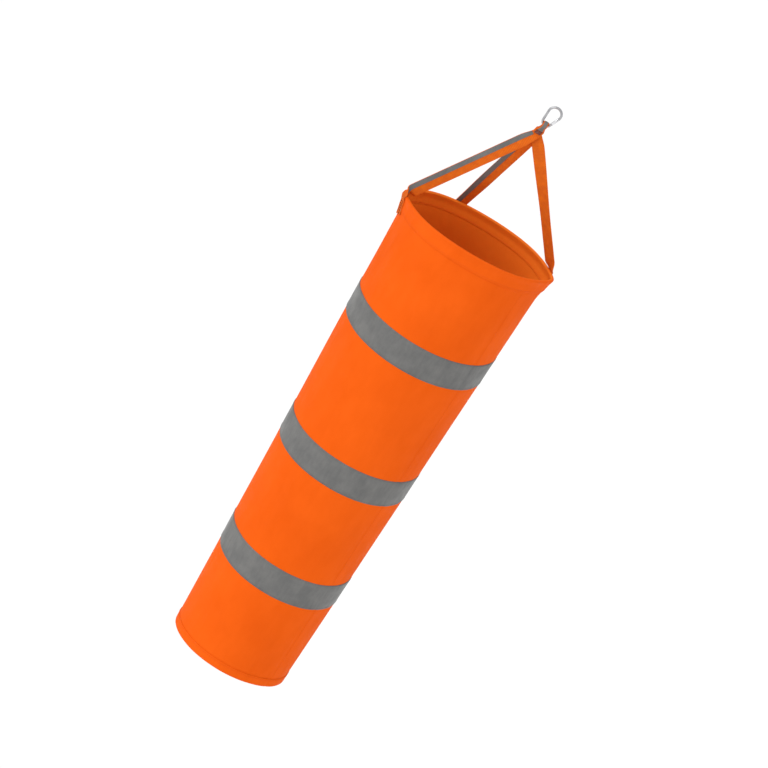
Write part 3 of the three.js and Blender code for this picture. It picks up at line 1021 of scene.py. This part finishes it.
hook = {
    "wire": 2.0,
    "upperBow": 10.5,
    "lowerBow": 7.25,
    "spacing": 17.0,
    "lean": math.radians(13),
    "sides": 28,
    "rivetAbove": 2.6,
    "upperSteps": 44,
    "lowerSteps": 32,
    "edge": 0.12,
}
hook["flare"] = math.asin((hook["upperBow"] - hook["lowerBow"]) / hook["spacing"])
gate = {
    "radius": 2.4,
    "end": 13.7,
    "nosePinAt": 11.9,
    "tongue": 2.2,
    "tongueThickness": 1.4,
    "slot": 2.0,
    "pin": 0.7,
    "hole": 0.88,
    "outline": 2.45,  # of its ends, a little wider than the bar
    "shortest": 0.02,  # edges under this length are merged away before rounding
    "bore": 1.1,
    "boreFrom": 1.5,
    "boreTo": 8.3,
    "edge": 0.1,
    "rivetHead": 1.4,
    "rivetReach": 2.55,  # from the hook's plane to the underside of each head
    "nosePinHalf": 2.0,
    "pinChamfer": 0.2,
}
hookFrame = (Matrix.Translation((0, 0, (hook["wire"] - hook["upperBow"]) * mm))
             @ Matrix.Rotation(hook["lean"], 4, "Y") @ Matrix.Scale(mm, 4))
gateFoot = Vector((hook["lowerBow"] * math.cos(hook["flare"]), 0,
                   -hook["spacing"] - hook["lowerBow"] * math.sin(hook["flare"])))
gateAxis = (Matrix.Translation(gateFoot) @ Matrix.Rotation(hook["flare"], 4, "Y")
            @ Matrix.Translation((0, 0, hook["rivetAbove"])))


def outlinePlate(name, points, thickness):
    # a flat plate in the hook's plane, from its outline of (x, z) points
    clearSelection()
    bpy.ops.mesh.primitive_circle_add(vertices=len(points), radius=1, fill_type="NGON")
    piece = named(name)
    for vertex, (x, z) in zip(piece.data.vertices, points):
        vertex.co = (x, -thickness / 2, z)
    editMode(piece)
    bpy.ops.mesh.extrude_region_move(TRANSFORM_OT_translate={"value": (0, thickness, 0)})
    bpy.ops.mesh.select_all(action="SELECT")
    bpy.ops.mesh.normals_make_consistent(inside=False)
    objectMode()
    return piece


def rod(name, radius, depth, middle, along="Z", sides=24):
    clearSelection()
    turn = {"X": (0, math.pi / 2, 0), "Y": (math.pi / 2, 0, 0), "Z": (0, 0, 0)}[along]
    bpy.ops.mesh.primitive_cylinder_add(
        vertices=sides, radius=radius, depth=depth, location=middle, rotation=turn)
    bpy.ops.object.transform_apply(location=True, rotation=True, scale=True)
    return named(name)


def block(name, size, middle):
    clearSelection()
    bpy.ops.mesh.primitive_cube_add(size=1, location=middle, scale=size)
    bpy.ops.object.transform_apply(location=True, rotation=True, scale=True)
    return named(name)


def makeHookWire():
    stations = []

    def bow(centre, radius, start, end, count):
        for i in range(count + 1):
            turn = mix(start, end, i / count)
            normal = Vector((math.cos(turn), 0, math.sin(turn)))
            stations.append((Vector((0, 0, centre)) + normal * radius, normal))

    flare = hook["flare"]
    bow(0, hook["upperBow"], -flare, math.pi + flare, hook["upperSteps"])
    bow(-hook["spacing"], hook["lowerBow"], math.pi + flare, fullTurn - flare, hook["lowerSteps"])
    wire = rod("hookBody", hook["wire"], 2, (0, 0, 0), sides=hook["sides"])
    editMode(wire)
    for i in range(1, len(stations) - 1):  # one cut at each station
        at = 1 - 2 * i / (len(stations) - 1)
        bpy.ops.mesh.select_all(action="SELECT")
        bpy.ops.mesh.bisect(plane_co=(0, 0, at), plane_no=(0, 0, 1))
    objectMode()
    for vertex in wire.data.vertices:
        point, normal = stations[round((1 - vertex.co.z) / 2 * (len(stations) - 1))]
        vertex.co = point + normal * vertex.co.x + Vector((0, vertex.co.y, 0))
    editMode(wire)
    bpy.ops.mesh.normals_make_consistent(inside=False)
    objectMode()
    return wire


def makeHookBody():
    wire = makeHookWire()
    tongue = gate["tongue"]
    foot = -hook["rivetAbove"] - 1.6
    arc = [(tongue * math.cos(math.pi * i / 16), tongue * math.sin(math.pi * i / 16)) for i in range(17)]
    rivetTongue = outlinePlate("rivetTongue", [(-1.4, foot), (1.4, foot)] + arc, gate["tongueThickness"])
    combine(rivetTongue, rod("hole", gate["hole"], 4, (0, 0, 0), "Y"), "DIFFERENCE")
    pinAt = gate["nosePinAt"]
    low, high = pinAt - 2.3, gate["end"] + 2.2
    nose = [(-0.9, low), (1.7, low), (1.7, high), (-1.5, high), (-1.5, pinAt + 1.1), (0.1, pinAt + 1.1),
            (0.9, pinAt), (0.1, pinAt - 1.1), (-0.9, pinAt - 1.1)]
    noseTongue = outlinePlate("noseTongue", nose, gate["tongueThickness"])
    for part in (rivetTongue, noseTongue):
        roundEdges(part, hook["edge"])
        part.data.transform(gateAxis)
        combine(wire, part, "UNION")
    smooth(wire, 35)
    return wire


def makeGate():
    outline, end = gate["outline"], gate["end"]
    bar = rod("gateBar", gate["radius"], end + 2 * outline, (0, 0, end / 2), sides=40)
    reach = math.acos(outline / end)
    crest = [mix(reach, math.pi - reach, i / 12) for i in range(13)]
    heel = [mix(math.pi, fullTurn, i / 20) for i in range(21)]
    profile = [(end * math.cos(a), end * math.sin(a)) for a in crest]
    profile += [(outline * math.cos(a), outline * math.sin(a)) for a in heel]
    combine(bar, outlinePlate("profile", profile, 8), "INTERSECT")
    combine(bar, block("lowerSlot", (8, gate["slot"], 2 * (gate["tongue"] + 0.4)), (0, 0, 0)), "DIFFERENCE")
    upper = gate["nosePinAt"] - 2.7
    combine(bar, block("upperSlot", (8, gate["slot"], 10), (0, 0, upper + 5)), "DIFFERENCE")
    low, high = gate["boreFrom"], gate["boreTo"]
    combine(bar, rod("bore", gate["bore"], high - low, (0, 0, (low + high) / 2)), "DIFFERENCE")
    for z in (0, gate["nosePinAt"]):
        combine(bar, rod("hole", gate["hole"], 8, (0, 0, z), "Y"), "DIFFERENCE")
    mergeDoubles(bar, gate["shortest"])
    editMode(bar)
    bpy.ops.mesh.dissolve_limited(angle_limit=math.radians(1))
    objectMode()
    roundEdges(bar, gate["edge"], angle=40, clamp=False)
    smooth(bar, 35)
    return bar


def makeRivet():
    reach, shaft = gate["rivetReach"], gate["pin"]
    dome = [(0, 0.5), (0.55, 0.46), (1.0, 0.34), (1.3, 0.16), (gate["rivetHead"], 0)]
    profile = [(r, -reach - z) for r, z in dome] + [(shaft, -reach), (shaft, reach)]
    profile += [(r, reach + z) for r, z in reversed(dome)]
    rivet = lathePiece("gateRivet", profile, 28)
    rivet.data.transform(Matrix.Rotation(math.pi / 2, 4, "X"))
    smooth(rivet, 35)
    return rivet


def makeNosePin():
    half, radius, cut = gate["nosePinHalf"], gate["pin"], gate["pinChamfer"]
    profile = [(0, -half), (radius - cut, -half), (radius, -half + cut), (radius, half - cut),
               (radius - cut, half), (0, half)]
    pin = lathePiece("nosePin", profile, 24)
    pin.data.transform(Matrix.Translation((0, 0, gate["nosePinAt"])) @ Matrix.Rotation(math.pi / 2, 4, "X"))
    smooth(pin, 35)
    return pin


def placeHookPart(piece, onGate):
    piece.data.transform(hookFrame @ gateAxis if onGate else hookFrame)
    return piece


addPiece(placeHookPart(makeHookBody(), False), "hook", "zinc", ["hook_body"])
addPiece(placeHookPart(makeGate(), True), "gate", "gateZinc", ["gate"])
addPiece(placeHookPart(makeRivet(), True), "hook", "steel", ["gate_rivet"])
addPiece(placeHookPart(makeNosePin(), True), "gate", "steel", ["nose_pin"])
print("hook made")

# parts that keep the frame's own shape

kept = {"mouth_hoop": "steel", "hoop_ferrule": "zinc", "gate_plunger": "steel", "gate_spring": "steel"}
for node, finish in kept.items():
    frame["nodes"][node].data.materials.clear()
    frame["nodes"][node].data.materials.append(finishes[finish])

bpy.data.objects.remove(stitchShape)

# floor, camera and light

view = {
    "distance": 12 * sleeve["length"],
    "elevation": math.radians(19.18),
    "roll": math.radians(31.1),
    "right": 49.6 * mm,  # from the middle of the sleeve to the middle of the picture
    "up": 96.4 * mm,
    "lens": 287.06,
    "sensor": 36,
}
studio = {
    "floorDrop": 2.6,
    "floorSize": 60,
    "sky": 0.88,
    "key": 0.95,
    "keySoftness": math.radians(50),
    "keyFrom": Vector((-1.15, -0.8, 0.95)),
    "floor": ((0.99, 0.99, 0.99), (0.97, 0.97, 0.97)),
    "floorGrain": 0.4,
}


def makeCamera():
    middle = Vector((sleeve["x"], 0, sleeve["mouthZ"] - sleeve["length"] / 2))
    back = Vector((0, -math.cos(view["elevation"]), math.sin(view["elevation"])))
    level = Vector((1, 0, 0))
    upright = back.cross(level)
    turn = view["roll"]
    right = level * math.cos(turn) + upright * math.sin(turn)
    up = upright * math.cos(turn) - level * math.sin(turn)
    spot = middle + back * view["distance"]
    toward = (middle + right * view["right"] + up * view["up"] - spot).normalized()
    right = toward.cross(up).normalized()
    up = right.cross(toward)
    clearSelection()
    bpy.ops.object.camera_add()
    camera = named("camera")
    camera.matrix_world = Matrix((
        (right.x, up.x, -toward.x, spot.x),
        (right.y, up.y, -toward.y, spot.y),
        (right.z, up.z, -toward.z, spot.z),
        (0, 0, 0, 1),
    ))
    camera.data.sensor_width = view["sensor"]
    camera.data.lens = view["lens"]
    camera.data.clip_end = 200
    bpy.context.scene.camera = camera


def makeStudio():
    clearSelection()
    level = sockLow.z - studio["floorDrop"]
    bpy.ops.mesh.primitive_plane_add(size=studio["floorSize"], location=(0, 0, level))
    floor = named("floor")
    surface = Surface("paleFloor", Roughness=0.9)
    surface.set("Base Color", surface.between(surface.noise(studio["floorGrain"]), *studio["floor"]))
    floor.data.materials.append(surface.material)
    world = bpy.data.worlds.new("studio")
    bpy.context.scene.world = world
    world.use_nodes = True
    background = world.node_tree.nodes["Background"]
    background.inputs["Color"].default_value = (1, 1, 1, 1)
    background.inputs["Strength"].default_value = studio["sky"]
    clearSelection()
    bpy.ops.object.light_add(type="SUN", location=studio["keyFrom"] * 4)
    key = named("keyLight")
    key.data.energy = studio["key"]
    key.data.angle = studio["keySoftness"]
    key.rotation_euler = studio["keyFrom"].to_track_quat("Z", "Y").to_euler()


makeCamera()
makeStudio()
